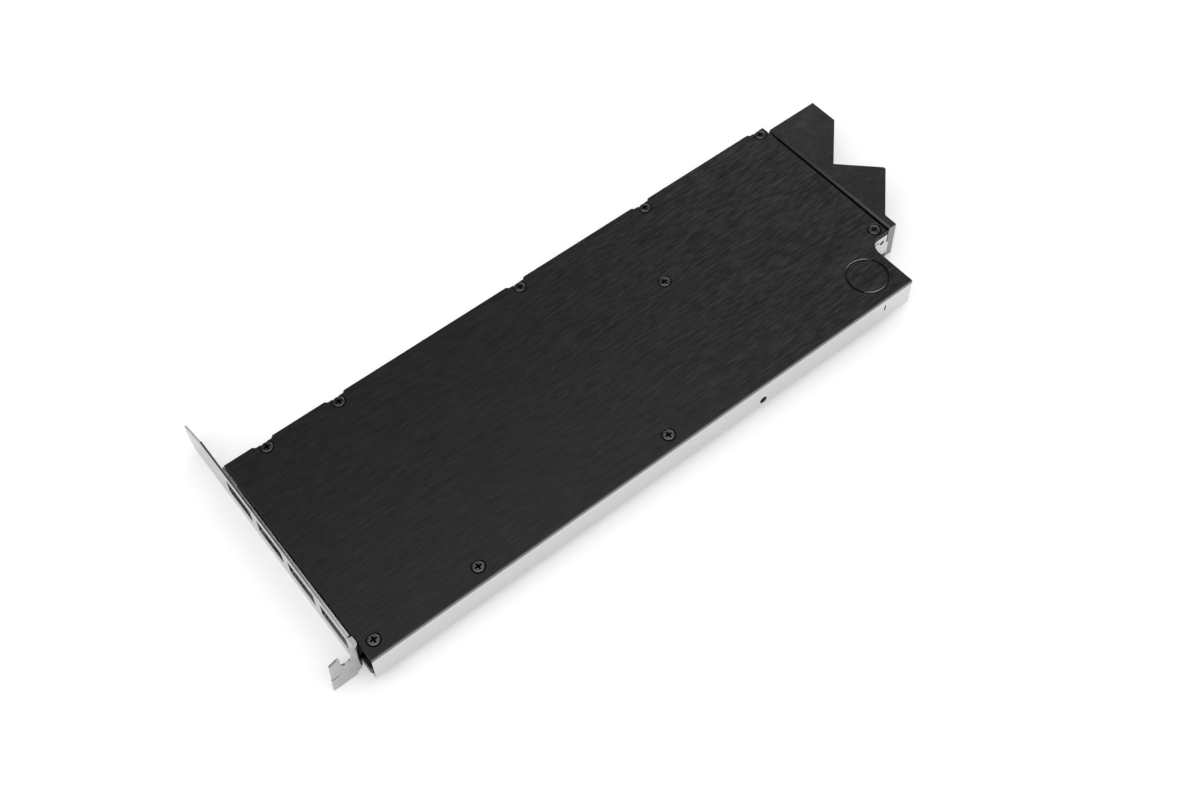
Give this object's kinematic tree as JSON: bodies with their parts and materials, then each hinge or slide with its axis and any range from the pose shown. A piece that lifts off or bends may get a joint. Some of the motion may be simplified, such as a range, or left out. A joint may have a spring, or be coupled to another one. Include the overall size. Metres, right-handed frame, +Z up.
{
  "type": "gpu water block",
  "caption": "Full-length water block for a single-slot graphics card: black backplate, nickel-plated cold plate, slot bracket with open windows and a notched tail bracket.",
  "frame": {"origin": "middle of the bounding box in plan, on the plane the block rests on, backplate up", "axes": "+X along the card from the slot bracket to the tail bracket, +Y across it towards the bracket's tongue, +Z up out of the backplate"},
  "size_m": [0.3052, 0.127, 0.0184],
  "materials": {
    "black_anodised": "brushed along the length, black anodised aluminium",
    "black_screws": "black oxide steel",
    "pad_grey": "soft matt pad",
    "nickel_brass": "nickel-plated brass",
    "washer_white": "matt nylon",
    "nickel_copper": "satin nickel plating on copper",
    "stainless": "fine brushed",
    "seal_rubber": "matt black rubber",
    "black_acetal": "fine machined, low sheen",
    "bright_nickel_steel": "bright nickel plating on folded steel",
    "black_satin": "smooth satin black"
  },
  "bodies": {
    "root": {"backplate": "black_anodised", "backplate_screws": "black_screws", "backplate_memory_pads": "pad_grey", "backplate_power_pads": "pad_grey", "standoffs": "nickel_brass", "insulating_washers": "washer_white", "cold_plate": "nickel_copper", "memory_pads": "pad_grey", "power_stage_pads": "pad_grey", "inductor_pads": "pad_grey", "jet_plate": "stainless", "main_gasket": "seal_rubber", "bracket_tab_bushes": "nickel_brass", "cover": "black_acetal", "cover_screws": "black_screws", "port_bushes": "nickel_brass", "port_gaskets": "seal_rubber", "slot_bracket": "bright_nickel_steel", "tail_bracket": "black_satin", "tail_bracket_screws": "black_screws"}
  },
  "joints": []
}
